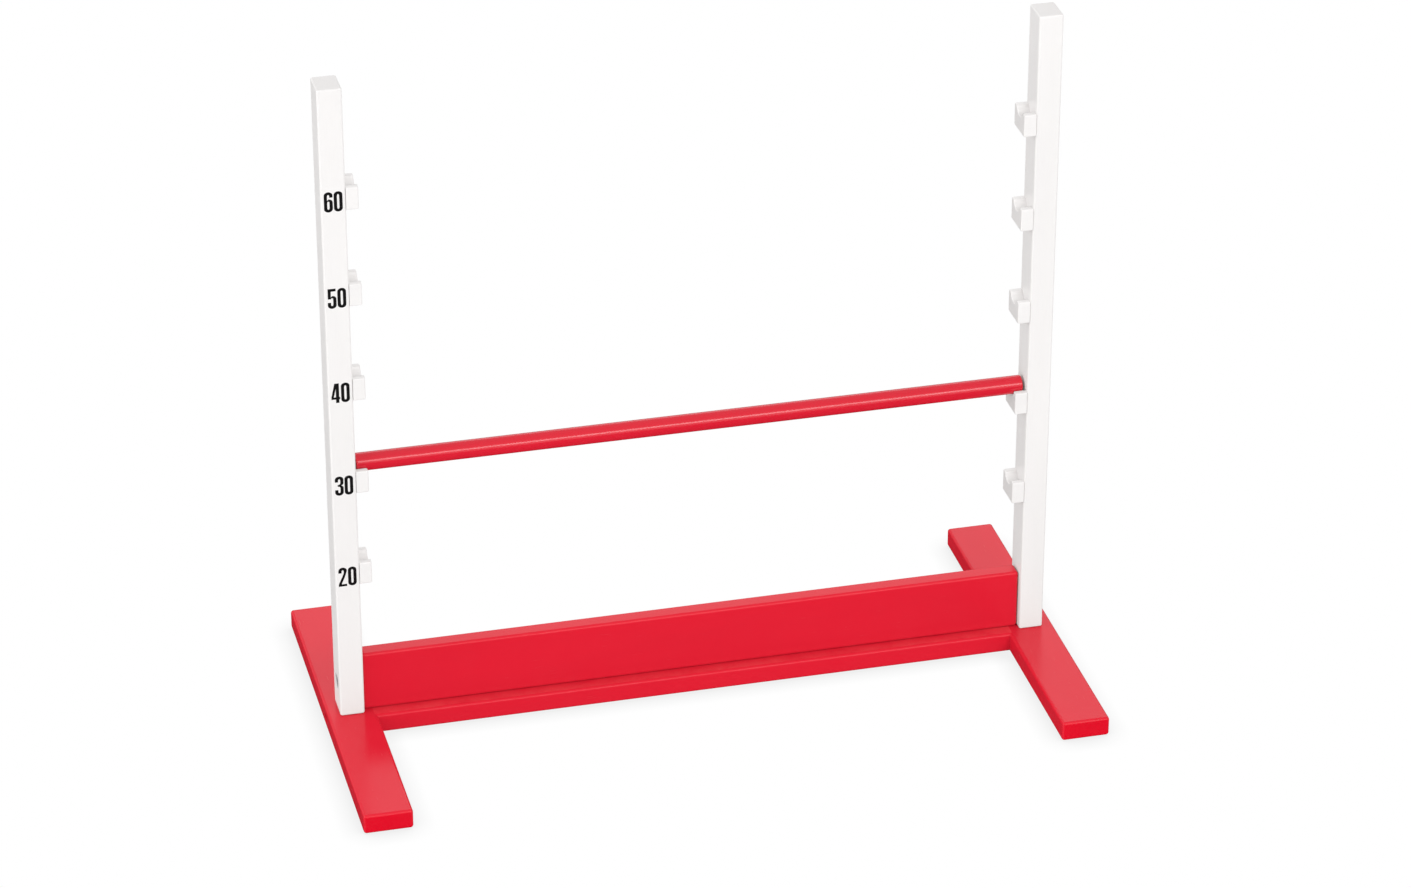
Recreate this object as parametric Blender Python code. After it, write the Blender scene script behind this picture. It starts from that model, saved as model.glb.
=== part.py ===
"""Wooden jump hurdle: two posts on feet, a sill, a kick board and a loose crossbar.

Lengths are in metres. +Z is up, X runs along the crossbar and the front is at -Y. The origin is
on the floor, under the middle of the hurdle. Each hole is the outline of what sits in it, let out
by one gap, so the holes follow whatever size is changed.
"""
from math import atan2, cos, degrees, pi, radians, sin, sqrt

import bmesh
import bpy
from mathutils import Matrix, Vector

# The whole hurdle, and the gap between pieces that touch
OVERALL_WIDTH = 0.740
OVERALL_HEIGHT = 0.690
GAP = 0.0003

# Feet and sill, from one thickness of plank
PLANK_THICKNESS = 0.020
PLANK_ROUNDING = 0.003
FOOT_LENGTH = 0.400
FOOT_WIDTH = 0.048
SILL_WIDTH = 0.046

# Kick board, on edge on the sill between the posts
BOARD_THICKNESS = 0.018
BOARD_HEIGHT = 0.062
BOARD_ROUNDING = 0.003

# Posts
POST_WIDTH = 0.024
POST_DEPTH = 0.032
POST_ROUNDING = 0.002

# Crossbar, and the heights over the floor that its top can be set to
BAR_DIAMETER = 0.018
BAR_END_PLAY = 0.002
BAR_END_ROUNDING = 0.0015
LOWEST_JUMP = 0.200
JUMP_STEP = 0.100
SCALE = ("20", "30", "40", "50", "60")
BAR_AT = "30"

# Holders on the posts' inner faces, with a round seat between two lips
HOLDER_REACH = 0.012
HOLDER_HEIGHT = 0.023
HOLDER_ROUNDING = 0.0015
HOLDER_EDGE = 0.0009
SEAT_RADIUS = 0.010
SEAT_DEPTH = 0.007

# Glued dowels, one in the back of each holder and two in each end of the sill
HOLDER_DOWEL_DIAMETER = 0.006
HOLDER_DOWEL_LENGTH = 0.018
HOLDER_DOWEL_IN_HOLDER = 0.008
HOLDER_DOWEL_RISE = 0.008
SILL_DOWEL_DIAMETER = 0.008
SILL_DOWEL_LENGTH = 0.030
SILL_DOWEL_SPACING = 0.030
DOWEL_CHAMFER = 0.0008

# Connector bolts, through the posts into the board and through the feet into the sill
BOLT_DIAMETER = 0.006
POST_BOLT_LENGTH = 0.060
POST_BOLT_HEAD_DIAMETER = 0.015
POST_BOLT_HEAD_HEIGHT = 0.002
POST_BOLT_SINK = 0.003
SILL_BOLT_LENGTH = 0.080
SILL_BOLT_HEAD_DIAMETER = 0.010
SILL_BOLT_HEAD_HEIGHT = 0.006
SILL_BOLT_SINK = 0.008
BOLT_CHAMFER = 0.0006
SOCKET_WIDTH = 0.004
SOCKET_DEPTH = 0.0014

# Barrel nuts that the bolts pull on, in pockets behind the board and under the sill
NUT_DIAMETER = 0.010
NUT_LENGTH = 0.012
NUT_SETBACK = 0.032
NUT_CHAMFER = 0.0004
NUT_SLOT_WIDTH = 0.0012
NUT_SLOT_DEPTH = 0.0015

# Countersunk screws, up through the feet into the posts and up through the sill into the board,
# where the end ones are set in from the feet and the others are spread evenly between them
POST_SCREW_DIAMETER = 0.005
POST_SCREW_LENGTH = 0.060
POST_SCREW_SPACING = 0.018
BOARD_SCREW_DIAMETER = 0.0045
BOARD_SCREW_LENGTH = 0.045
BOARD_SCREW_INSET = 0.082
BOARD_SCREW_COUNT = 4
SCREW_SINK = 0.001
SCREW_RIM = 0.0004
CROSS_SLOT_WIDTH = 0.0012
CROSS_SLOT_DEPTH = 0.0016

# How far a drilled hole reaches past the tip of what is in it
DRILL_PAST = 0.001

# Facets round turned pieces, and segments across a rounded edge
BAR_SIDES = 48
HEAD_SIDES = 20
HIDDEN_SIDES = 12
EDGE_SEGMENTS = 4
CORNER_STEPS = 2
SEAT_STEPS = 12

# Places that follow from the sizes
FOOT_X = (OVERALL_WIDTH - FOOT_WIDTH) / 2
FOOT_INNER_X = FOOT_X - FOOT_WIDTH / 2
POST_INNER_X = FOOT_X - POST_WIDTH / 2
PLANK_MIDDLE_Z = PLANK_THICKNESS / 2
DECK_Z = PLANK_THICKNESS + GAP
BOARD_MIDDLE_Z = DECK_Z + BOARD_HEIGHT / 2
BAR_RADIUS = BAR_DIAMETER / 2
SEAT_RISE = SEAT_RADIUS - SEAT_DEPTH

SHARP_ANGLE = radians(40)
MERGE_DISTANCE = 0.000001
X_AXIS = Vector((1, 0, 0))
Y_AXIS = Vector((0, 1, 0))
Z_AXIS = Vector((0, 0, 1))
HERE = Vector((0, 0, 0))


def clear_scene():
    for thing in list(bpy.data.objects):
        bpy.data.objects.remove(thing, do_unlink=True)


def make_finish(name, colour, roughness, metallic=0.0):
    finish = bpy.data.materials.new(name)
    finish.use_nodes = True
    finish.diffuse_color = (*colour, 1.0)
    shader = finish.node_tree.nodes["Principled BSDF"]
    shader.inputs["Base Color"].default_value = (*colour, 1.0)
    shader.inputs["Roughness"].default_value = roughness
    shader.inputs["Metallic"].default_value = metallic
    return finish


# Placing, rounding and cutting

def put(name, data, location, parent=None, finish=None, turn=None):
    """Object for one piece, one cutter or, without data, one anchor that carries others."""
    thing = bpy.data.objects.new(name, data)
    bpy.context.scene.collection.objects.link(thing)
    thing.location = location
    thing.parent = parent
    if turn:
        thing.rotation_euler = turn
    if finish and not data.materials:
        data.materials.append(finish)
    return thing


def facing(axis, across):
    """Rotation that points an object's +Z along the axis and its +X across it."""
    return Matrix((across, axis.cross(across), axis)).transposed().to_euler()


def round_edges(piece, radius, segments):
    rounding = piece.modifiers.new("rounded edges", 'BEVEL')
    rounding.limit_method = 'ANGLE'
    rounding.angle_limit = SHARP_ANGLE
    rounding.width = radius
    rounding.segments = segments


def cut(pieces, cutter):
    """Take the cutter's shape out of each of the pieces."""
    cutter.hide_render = True
    cutter.display_type = 'WIRE'
    for piece in pieces:
        hole = piece.modifiers.new(cutter.name, 'BOOLEAN')
        hole.operation = 'DIFFERENCE'
        hole.solver = 'EXACT'
        hole.object = cutter


# Meshes

def mesh_from(shape, name):
    bmesh.ops.recalc_face_normals(shape, faces=shape.faces)
    mesh = bpy.data.meshes.new(name)
    shape.to_mesh(mesh)
    shape.free()
    return mesh


def block_mesh(name, size):
    shape = bmesh.new()
    bmesh.ops.create_cube(shape, size=1.0)
    bmesh.ops.scale(shape, vec=size, verts=shape.verts)
    return mesh_from(shape, name)


def turned_mesh(name, profile, sides):
    """Solid turned about +Z from (radius, height) points that start and end on the axis."""
    shape = bmesh.new()
    points = [shape.verts.new((radius, 0, height)) for radius, height in profile]
    edges = [shape.edges.new(pair) for pair in zip(points, points[1:])]
    bmesh.ops.spin(
        shape, geom=points + edges, cent=HERE, axis=Z_AXIS, angle=2 * pi, steps=sides, use_merge=True)
    bmesh.ops.remove_doubles(shape, verts=shape.verts, dist=MERGE_DISTANCE)
    mesh = mesh_from(shape, name)
    mesh.shade_smooth()
    mesh.set_sharp_from_angle(angle=SHARP_ANGLE)
    return mesh


def extruded_mesh(name, outline, way):
    """Solid drawn out from a flat outline of points."""
    shape = bmesh.new()
    face = shape.faces.new([shape.verts.new(point) for point in outline])
    swept = bmesh.ops.extrude_face_region(shape, geom=[face])["geom"]
    corners = [item for item in swept if isinstance(item, bmesh.types.BMVert)]
    bmesh.ops.translate(shape, verts=corners, vec=way)
    return mesh_from(shape, name)


# Profiles and outlines

def arc(centre, radius, start, end, steps):
    """Points along an arc from one angle to another, in degrees."""
    angles = [radians(start + (end - start) * step / steps) for step in range(steps + 1)]
    return [(centre[0] + radius * cos(angle), centre[1] + radius * sin(angle)) for angle in angles]


def rod(radius, low, high, chamfer):
    return [(0, low), (radius - chamfer, low), (radius, low + chamfer),
            (radius, high - chamfer), (radius - chamfer, high), (0, high)]


def bore(radius, low, high):
    return [(0, low), (radius, low), (radius, high), (0, high)]


def holder_outline():
    """Side view of a holder, counted down from the tops of its lips and across from its middle."""
    half = POST_DEPTH / 2
    soft = HOLDER_ROUNDING
    lip_y = sqrt((SEAT_RADIUS + soft) ** 2 - (SEAT_RISE + soft) ** 2)
    lean = degrees(atan2(SEAT_RISE + soft, lip_y))
    outline = arc((soft - half, soft - HOLDER_HEIGHT), soft, 180, 270, CORNER_STEPS)
    outline += arc((half - soft, soft - HOLDER_HEIGHT), soft, 270, 360, CORNER_STEPS)
    outline += arc((half - soft, -soft), soft, 0, 90, CORNER_STEPS)
    outline += arc((lip_y, -soft), soft, 90, 180 - lean, CORNER_STEPS)
    outline += arc((0, SEAT_RISE), SEAT_RADIUS, -lean, lean - 180, SEAT_STEPS)[1:-1]
    outline += arc((-lip_y, -soft), soft, lean, 90, CORNER_STEPS)
    outline += arc((soft - half, -soft), soft, 90, 180, CORNER_STEPS)
    return outline


def cross_outline(reach, width):
    """Plan of a cross recess."""
    arm, half = reach / 2, width / 2
    return [(arm, -half), (arm, half), (half, half), (half, arm), (-half, arm), (-half, half),
            (-arm, half), (-arm, -half), (-half, -half), (-half, -arm), (half, -arm), (half, -half)]


# Fasteners: what each is made from, its recess and the hole that it needs

class Fastener:
    """Shape along +Z, shared by all the fasteners of a kind, with its recess and its hole."""

    def __init__(self, solid, hole, finish, recesses=()):
        self.solid = solid
        self.hole = hole
        self.finish = finish
        self.recesses = recesses

    def fit(self, name, location, turn, parent, joined):
        piece = put(name, self.solid, location, parent, self.finish, turn)
        for recess in self.recesses:
            cut([piece], put(f"{name}_{recess.name}", recess, location, parent, turn=turn))
        cut(joined, put(name + "_hole", self.hole, location, parent, turn=turn))


def dowel(name, diameter, length, finish):
    radius = diameter / 2
    half = length / 2
    solid = turned_mesh(name, rod(radius, -half, half, DOWEL_CHAMFER), HIDDEN_SIDES)
    clear = bore(radius + GAP, -half - DRILL_PAST, half + DRILL_PAST)
    return Fastener(solid, turned_mesh(name + "_hole", clear, HIDDEN_SIDES), finish)


def connector_bolt(name, length, head_diameter, head_height, sink, finish):
    """Bolt with a hexagon socket; the underside of its head is at zero and its shank points up."""
    radius = BOLT_DIAMETER / 2
    head = head_diameter / 2
    soft = BOLT_CHAMFER
    outline = [(0, -head_height), (head - soft, -head_height), (head, soft - head_height), (head, 0),
               (radius, 0), (radius, length - soft), (radius - soft, length), (0, length)]
    mouth = -sink - DRILL_PAST
    tip = length + DRILL_PAST
    wide, narrow = head + GAP, radius + GAP
    clear = [(0, mouth), (wide, mouth), (wide, GAP), (narrow, GAP), (narrow, tip), (0, tip)]
    socket = bore(SOCKET_WIDTH / sqrt(3), -head_height - DRILL_PAST, SOCKET_DEPTH - head_height)
    return Fastener(turned_mesh(name, outline, HEAD_SIDES), turned_mesh(name + "_hole", clear, HEAD_SIDES),
                    finish, [turned_mesh("socket", socket, 6)])


def barrel_nut(name, mouth, finish):
    """Nut with its bolt's bore along X, and a pocket that opens upwards at the mouth."""
    radius = NUT_DIAMETER / 2
    half = NUT_LENGTH / 2
    slot = block_mesh("slot", (NUT_DIAMETER * 2, NUT_SLOT_WIDTH, NUT_SLOT_DEPTH * 2))
    slot.transform(Matrix.Translation((0, 0, half)))
    thread = turned_mesh("bore", bore(BOLT_DIAMETER / 2 + GAP, -NUT_DIAMETER, NUT_DIAMETER), HEAD_SIDES)
    thread.transform(Matrix.Rotation(pi / 2, 4, 'Y'))
    clear = bore(radius + GAP, -half - GAP, mouth + DRILL_PAST)
    solid = turned_mesh(name, rod(radius, -half, half, NUT_CHAMFER), HEAD_SIDES)
    return Fastener(solid, turned_mesh(name + "_hole", clear, HEAD_SIDES), finish, [slot, thread])


def wood_screw(name, diameter, length, finish):
    """Screw with a 90 degree head twice as wide as its shank; its face is at zero."""
    radius = diameter / 2
    neck = SCREW_RIM + radius
    outline = [(0, 0), (diameter, 0), (diameter, SCREW_RIM), (radius, neck),
               (radius, length - diameter), (0, length)]
    mouth = -SCREW_SINK - DRILL_PAST
    tip = length + DRILL_PAST
    wide, narrow = diameter + GAP, radius + GAP
    clear = [(0, mouth), (wide, mouth), (wide, SCREW_RIM), (narrow, neck), (narrow, tip), (0, tip)]
    cross = [(x, y, -CROSS_SLOT_DEPTH) for x, y in cross_outline(diameter, CROSS_SLOT_WIDTH)]
    solid = turned_mesh(name, outline, HIDDEN_SIDES)
    return Fastener(solid, turned_mesh(name + "_hole", clear, HIDDEN_SIDES), finish,
                    [extruded_mesh("cross", cross, Z_AXIS * CROSS_SLOT_DEPTH * 2)])


# Wooden pieces

def add_plank(name, size, centre, rounding, parent, finish):
    piece = put(name, block_mesh(name, size), centre, parent, finish)
    round_edges(piece, rounding, EDGE_SEGMENTS)
    return piece


def seat_z(mark):
    """Height of the lowest line of a holder's seat, where the bar's top reaches the mark."""
    return LOWEST_JUMP + JUMP_STEP * SCALE.index(mark) - BAR_DIAMETER - GAP


def add_holders(side, out, upright, post, holder, finish, peg):
    """Pairs of holder and dowel up the inner face of a post."""
    middle = -out * (POST_WIDTH / 2 + (HOLDER_REACH + GAP) / 2)
    peg_x = -out * (POST_WIDTH / 2 + HOLDER_DOWEL_IN_HOLDER - HOLDER_DOWEL_LENGTH / 2)
    for mark in SCALE:
        top = seat_z(mark) + SEAT_DEPTH
        piece = put(f"{side}_holder_{mark}", holder, (middle, 0, top), upright, finish)
        round_edges(piece, HOLDER_EDGE, 1)
        peg_at = (peg_x, 0, top - HOLDER_HEIGHT + HOLDER_DOWEL_RISE)
        peg.fit(f"{side}_holder_{mark}_dowel", peg_at, facing(X_AXIS, Z_AXIS), upright, [post, piece])


def build():
    clear_scene()
    red = make_finish("red_lacquer", (0.78, 0.014, 0.031), 0.32)
    white = make_finish("white_lacquer", (0.90, 0.88, 0.86), 0.38)
    zinc = make_finish("zinc_steel", (0.62, 0.63, 0.65), 0.35, metallic=1.0)
    beech = make_finish("beech", (0.55, 0.36, 0.20), 0.65)

    peg = dowel("holder_dowel", HOLDER_DOWEL_DIAMETER, HOLDER_DOWEL_LENGTH, beech)
    sill_dowel = dowel("sill_dowel", SILL_DOWEL_DIAMETER, SILL_DOWEL_LENGTH, beech)
    post_bolt = connector_bolt(
        "post_bolt", POST_BOLT_LENGTH, POST_BOLT_HEAD_DIAMETER, POST_BOLT_HEAD_HEIGHT, POST_BOLT_SINK, zinc)
    sill_bolt = connector_bolt(
        "sill_bolt", SILL_BOLT_LENGTH, SILL_BOLT_HEAD_DIAMETER, SILL_BOLT_HEAD_HEIGHT, SILL_BOLT_SINK, zinc)
    board_nut = barrel_nut("board_nut", BOARD_THICKNESS / 2, zinc)
    sill_nut = barrel_nut("sill_nut", PLANK_MIDDLE_Z, zinc)
    post_screw = wood_screw("post_screw", POST_SCREW_DIAMETER, POST_SCREW_LENGTH, zinc)
    board_screw = wood_screw("board_screw", BOARD_SCREW_DIAMETER, BOARD_SCREW_LENGTH, zinc)
    reach = HOLDER_REACH - GAP
    holder = extruded_mesh("holder", [(-reach / 2, y, z) for y, z in holder_outline()], X_AXIS * reach)

    hurdle = put("hurdle", None, HERE)
    sill = add_plank("sill", (2 * (FOOT_INNER_X - GAP), SILL_WIDTH, PLANK_THICKNESS),
                     (0, 0, PLANK_MIDDLE_Z), PLANK_ROUNDING, hurdle, red)
    board = add_plank("kick_board", (2 * (POST_INNER_X - GAP), BOARD_THICKNESS, BOARD_HEIGHT),
                      (0, 0, BOARD_MIDDLE_Z), BOARD_ROUNDING, hurdle, red)

    # Each upright is placed from the middle of its foot, and out points away from the hurdle
    for side, out in (("left", -1), ("right", 1)):
        upright = put(side + "_upright", None, (out * FOOT_X, 0, 0), hurdle)
        foot = add_plank(side + "_foot", (FOOT_WIDTH, FOOT_LENGTH, PLANK_THICKNESS),
                         (0, 0, PLANK_MIDDLE_Z), PLANK_ROUNDING, upright, red)
        post = add_plank(side + "_post", (POST_WIDTH, POST_DEPTH, OVERALL_HEIGHT - DECK_Z),
                         (0, 0, (OVERALL_HEIGHT + DECK_Z) / 2), POST_ROUNDING, upright, white)
        add_holders(side, out, upright, post, holder, white, peg)

        inward = facing(X_AXIS * -out, Z_AXIS)
        post_head = (out * (POST_WIDTH / 2 - POST_BOLT_SINK), 0, BOARD_MIDDLE_Z)
        post_bolt.fit(side + "_post_bolt", post_head, inward, upright, [post, board])
        board_nut.fit(side + "_board_nut", (out * (POST_INNER_X - NUT_SETBACK), 0, BOARD_MIDDLE_Z),
                      facing(Y_AXIS, X_AXIS), hurdle, [board])
        sill_head = (out * (FOOT_WIDTH / 2 - SILL_BOLT_SINK), 0, PLANK_MIDDLE_Z)
        sill_bolt.fit(side + "_sill_bolt", sill_head, inward, upright, [foot, sill])
        sill_nut.fit(side + "_sill_nut", (out * (FOOT_INNER_X - NUT_SETBACK), 0, PLANK_MIDDLE_Z),
                     facing(-Z_AXIS, X_AXIS), hurdle, [sill])

        for end, way in (("front", -0.5), ("back", 0.5)):
            joint = (-out * FOOT_WIDTH / 2, way * SILL_DOWEL_SPACING, PLANK_MIDDLE_Z)
            sill_dowel.fit(f"{side}_sill_dowel_{end}", joint, inward, upright, [foot, sill])
            under = (0, way * POST_SCREW_SPACING, SCREW_SINK)
            post_screw.fit(f"{side}_post_screw_{end}", under, None, upright, [foot, post])

    for count in range(BOARD_SCREW_COUNT):
        x = (2 * count / (BOARD_SCREW_COUNT - 1) - 1) * (FOOT_INNER_X - BOARD_SCREW_INSET)
        board_screw.fit(f"board_screw_{count + 1}", (x, 0, SCREW_SINK), None, hurdle, [sill, board])

    # The bar lifts off along a line through its own middle
    half = POST_INNER_X - BAR_END_PLAY
    soft = BAR_END_ROUNDING
    bar = [(0, -half), *arc((BAR_RADIUS - soft, soft - half), soft, 270, 360, CORNER_STEPS),
           *arc((BAR_RADIUS - soft, half - soft), soft, 0, 90, CORNER_STEPS), (0, half)]
    rest = put("crossbar_rest", None, (0, 0, seat_z(BAR_AT) + GAP + BAR_RADIUS), hurdle)
    put("crossbar", turned_mesh("crossbar", bar, BAR_SIDES), HERE, rest, red, facing(X_AXIS, Z_AXIS))


build()
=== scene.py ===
"""Wooden jump hurdle: lacquered wood, its fittings and its printed scale, in a pale studio.

Lengths are in metres, +Z is up and the front is at -Y. Each piece takes its place from its node in
model.glb.
"""

from math import cos, pi, radians, sin, sqrt

import bmesh
import bpy
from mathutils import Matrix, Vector


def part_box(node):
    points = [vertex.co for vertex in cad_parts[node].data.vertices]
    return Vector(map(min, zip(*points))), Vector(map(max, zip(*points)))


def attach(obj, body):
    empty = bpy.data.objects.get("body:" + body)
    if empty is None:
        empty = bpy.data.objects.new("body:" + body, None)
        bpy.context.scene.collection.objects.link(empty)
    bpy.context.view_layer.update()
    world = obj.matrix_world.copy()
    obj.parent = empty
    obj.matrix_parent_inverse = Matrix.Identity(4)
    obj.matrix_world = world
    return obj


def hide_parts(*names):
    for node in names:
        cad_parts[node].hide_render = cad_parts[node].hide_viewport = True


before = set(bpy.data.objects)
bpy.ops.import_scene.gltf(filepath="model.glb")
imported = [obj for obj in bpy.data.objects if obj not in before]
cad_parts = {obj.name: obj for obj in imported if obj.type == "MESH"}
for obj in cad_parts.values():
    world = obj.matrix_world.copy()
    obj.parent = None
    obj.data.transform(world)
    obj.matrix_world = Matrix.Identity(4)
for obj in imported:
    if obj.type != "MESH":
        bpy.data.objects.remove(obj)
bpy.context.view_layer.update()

# Roundings of the wood, as a router and sandpaper leave them
PLANK_ROUNDING = 0.0030
POST_ROUNDING = 0.0020
HOLDER_ROUNDING = 0.0013
BAR_END_ROUNDING = 0.0015
ROUNDING_STEPS = 6
HOLDER_ROUNDING_STEPS = 4
SHARP_ANGLE = radians(40)
SMOOTH_ANGLE = radians(32)
LONG_EDGE = 0.1

# Rims, painted lighter as thin worn paint and also as a painted highlight along the rounded edges: how much
# of a rounding they take up, and where they run round the bar's ends
RIM_SHARE = 0.6
BAR_RIM_START = 0.0002
BAR_RIM_END = 0.0012

# Seats of the holders, round and deep enough for the bar
SEAT_RADIUS = 0.010
SEAT_RISE = 0.003
SEAT_CUTTER_LENGTH = 0.03

# Bores in the wood and the fittings in them
FIT = 0.0003
CONTACT = 0.00003
BOLT_RADIUS = 0.003
BOLT_TIP_SOFTNESS = 0.0008
POST_BOLT_HEAD_RADIUS = 0.0075
POST_BOLT_HEAD_HEIGHT = 0.002
SILL_BOLT_HEAD_RADIUS = 0.005
SILL_BOLT_HEAD_HEIGHT = 0.006
HEAD_TOP_SOFTNESS = 0.0006
HEAD_UNDERSIDE_SOFTNESS = 0.0002
SOCKET_SIDES = 6
SOCKET_WIDTH = 0.004
SOCKET_DEPTH = 0.0014
NUT_RADIUS = 0.005
NUT_SOFTNESS = 0.0004
NUT_SLOT_HALF_WIDTH = 0.0006
NUT_SLOT_DEPTH = 0.0015
NUT_SLOT_OVERRUN = 1.2
POST_SCREW_RADIUS = 0.0025
BOARD_SCREW_RADIUS = 0.00225
SCREW_RIM = 0.0004
SCREW_RIM_SOFTNESS = 0.0001
SCREW_CROSS_HALF_WIDTH = 0.0006
SCREW_CROSS_DEPTH = 0.0016
HOLDER_DOWEL_RADIUS = 0.003
SILL_DOWEL_RADIUS = 0.004
DRILL_PAST = 0.001

# Softened mouths of the bores, and how near to a face and to its circle a mouth's edges lie
MOUTH_SOFTNESS = 0.00035
MOUTH_STEPS = 2
NEAR_FACE = 0.00005
NEAR_CIRCLE = 0.0001

# Steps round turned pieces and bores
BAR_SIDES = 96
FITTING_SIDES = 48
HIDDEN_SIDES = 24

# Points closer than this are one point, and points this near to a spun piece's axis are on it
MERGE_WITHIN = 0.000005
NEAR_AXIS = 0.0000001

# Figures of the scale
FIGURE_HEIGHT = 0.0207
FIGURE_WIDTH = 0.0083
FIGURE_GAP = 0.0010
FIGURE_STEM = 0.0031
FIGURE_CROWN = 0.0028
FIGURE_DROP = 0.0240
PRINT_THICKNESS = 0.00006
SCALE_MARKS = {"20": 0.200, "30": 0.300, "40": 0.400, "50": 0.500, "60": 0.600}

SIDES = (("left", -1), ("right", 1))
X_AXIS = Vector((1, 0, 0))
Y_AXIS = Vector((0, 1, 0))
Z_AXIS = Vector((0, 0, 1))


# Camera, at the angle of the photograph

AIM = Vector((0.0130, 0.0, 0.2655))
VIEW_AZIMUTH = radians(-14.0)
VIEW_ELEVATION = radians(28.5)
VIEW_DISTANCE = 5.0
SENSOR_WIDTH = 36.0
LENS = 131.3
SIGHT_LIMIT = 50.0


def add_camera():
    back = Vector((sin(VIEW_AZIMUTH) * cos(VIEW_ELEVATION),
                   -cos(VIEW_AZIMUTH) * cos(VIEW_ELEVATION), sin(VIEW_ELEVATION)))
    deselect()
    bpy.ops.object.camera_add(location=AIM + back * VIEW_DISTANCE)
    camera = bpy.context.object
    camera.rotation_euler = back.to_track_quat('Z', 'Y').to_euler()
    camera.data.sensor_width = SENSOR_WIDTH
    camera.data.lens = LENS
    camera.data.clip_end = SIGHT_LIMIT
    bpy.context.scene.camera = camera


# Selecting and finishing

def deselect():
    bpy.ops.object.select_all(action='DESELECT')


def only(piece):
    """Make one piece the selected and active one."""
    deselect()
    piece.select_set(True)
    bpy.context.view_layer.objects.active = piece


def settle(piece):
    """Put a piece's place into its mesh, so that its object sits at the origin."""
    only(piece)
    bpy.ops.object.transform_apply(location=True, rotation=True, scale=True)


def named(name):
    piece = bpy.context.object
    piece.name = name
    piece.data.name = name
    return piece


def pick_edges(piece, wanted):
    """In edit mode, select the edges that pass a test."""
    bpy.ops.mesh.select_mode(type='EDGE')
    bpy.ops.mesh.select_all(action='DESELECT')
    shape = bmesh.from_edit_mesh(piece.data)
    for edge in shape.edges:
        if wanted(edge):
            edge.select_set(True)
    bmesh.update_edit_mesh(piece.data)


def is_sharp(edge):
    return edge.calc_face_angle(0.0) > SHARP_ANGLE


def round_over(piece, radius, steps, wanted=is_sharp):
    only(piece)
    bpy.ops.object.mode_set(mode='EDIT')
    pick_edges(piece, wanted)
    bpy.ops.mesh.bevel(offset=radius, segments=steps, profile=0.5, affect='EDGES')
    bpy.ops.object.mode_set(mode='OBJECT')


def take_out(piece, cutter):
    """Cut one shape out of a piece and throw the cutter away."""
    only(piece)
    bpy.ops.object.modifier_add(type='BOOLEAN')
    cut = piece.modifiers[-1]
    cut.operation = 'DIFFERENCE'
    cut.solver = 'EXACT'
    cut.object = cutter
    bpy.ops.object.modifier_apply(modifier=cut.name)
    bpy.data.objects.remove(cutter, do_unlink=True)


def merge_close(piece):
    """Join the points that a cut left on top of each other, so that no face is without width."""
    only(piece)
    bpy.ops.object.mode_set(mode='EDIT')
    bpy.ops.mesh.select_all(action='SELECT')
    bpy.ops.mesh.remove_doubles(threshold=MERGE_WITHIN)
    bpy.ops.mesh.select_all(action='SELECT')
    bpy.ops.mesh.dissolve_degenerate(threshold=MERGE_WITHIN)
    bpy.ops.object.mode_set(mode='OBJECT')


def bore(piece, start, end, radius, sides=FITTING_SIDES):
    """Drill a straight hole from one point to another."""
    deselect()
    way = end - start
    bpy.ops.mesh.primitive_cylinder_add(
        vertices=sides, radius=radius, depth=way.length, location=(start + end) / 2,
        rotation=way.to_track_quat('Z', 'Y').to_euler())
    take_out(piece, bpy.context.object)


def soften_mouth(piece, centre, normal, radius):
    """Break the sharp edge round the mouth of a bore."""
    def on_mouth(edge):
        return all(abs((vertex.co - centre).dot(normal)) < NEAR_FACE
                   and abs((vertex.co - centre).length - radius) < NEAR_CIRCLE for vertex in edge.verts)
    round_over(piece, MOUTH_SOFTNESS, MOUTH_STEPS, on_mouth)


def finish_piece(piece, material, slot, body, *nodes):
    """Smooth a piece, paint it and set it on its body in place of its plain nodes."""
    merge_close(piece)
    bpy.ops.object.shade_smooth_by_angle(angle=SMOOTH_ANGLE)
    bpy.ops.object.modifier_add(type='WEIGHTED_NORMAL')
    weights = piece.modifiers[-1]
    weights.keep_sharp = True
    bpy.ops.object.modifier_apply(modifier=weights.name)
    piece.data.materials.clear()
    piece.data.materials.append(material)
    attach(piece, body)
    if nodes:
        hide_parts(*nodes)


def block(name, low, high):
    deselect()
    bpy.ops.mesh.primitive_cube_add(size=1, location=(low + high) / 2)
    piece = named(name)
    piece.scale = high - low
    settle(piece)
    return piece


def turned(name, profile, sides, base, way):
    """Spin (radius, height) points round an axis that starts at base and runs along way."""
    deselect()
    bpy.ops.mesh.primitive_circle_add(vertices=len(profile))
    piece = named(name)
    for vertex, (radius, height) in zip(piece.data.vertices, profile):
        vertex.co = (radius, 0, height)
    bpy.ops.object.mode_set(mode='EDIT')
    pick_edges(piece, lambda edge: all(abs(vertex.co.x) < NEAR_AXIS for vertex in edge.verts))
    bpy.ops.mesh.delete(type='EDGE')
    bpy.ops.mesh.select_all(action='SELECT')
    bpy.ops.mesh.spin(steps=sides, angle=2 * pi, center=(0, 0, 0), axis=(0, 0, 1))
    bpy.ops.mesh.select_all(action='SELECT')
    bpy.ops.mesh.remove_doubles(threshold=MERGE_WITHIN)
    bpy.ops.mesh.normals_make_consistent(inside=False)
    bpy.ops.object.mode_set(mode='OBJECT')
    piece.location = base
    piece.rotation_euler = way.to_track_quat('Z', 'Y').to_euler()
    settle(piece)
    return piece


def arc(centre, radii, start, end, steps):
    """Points along part of an ellipse, between two angles in degrees."""
    points = []
    for step in range(steps + 1):
        angle = radians(start + (end - start) * step / steps)
        points.append((centre[0] + radii[0] * cos(angle), centre[1] + radii[1] * sin(angle)))
    return points


def middle_of(name):
    low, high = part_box(name)
    return (low + high) / 2


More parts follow.
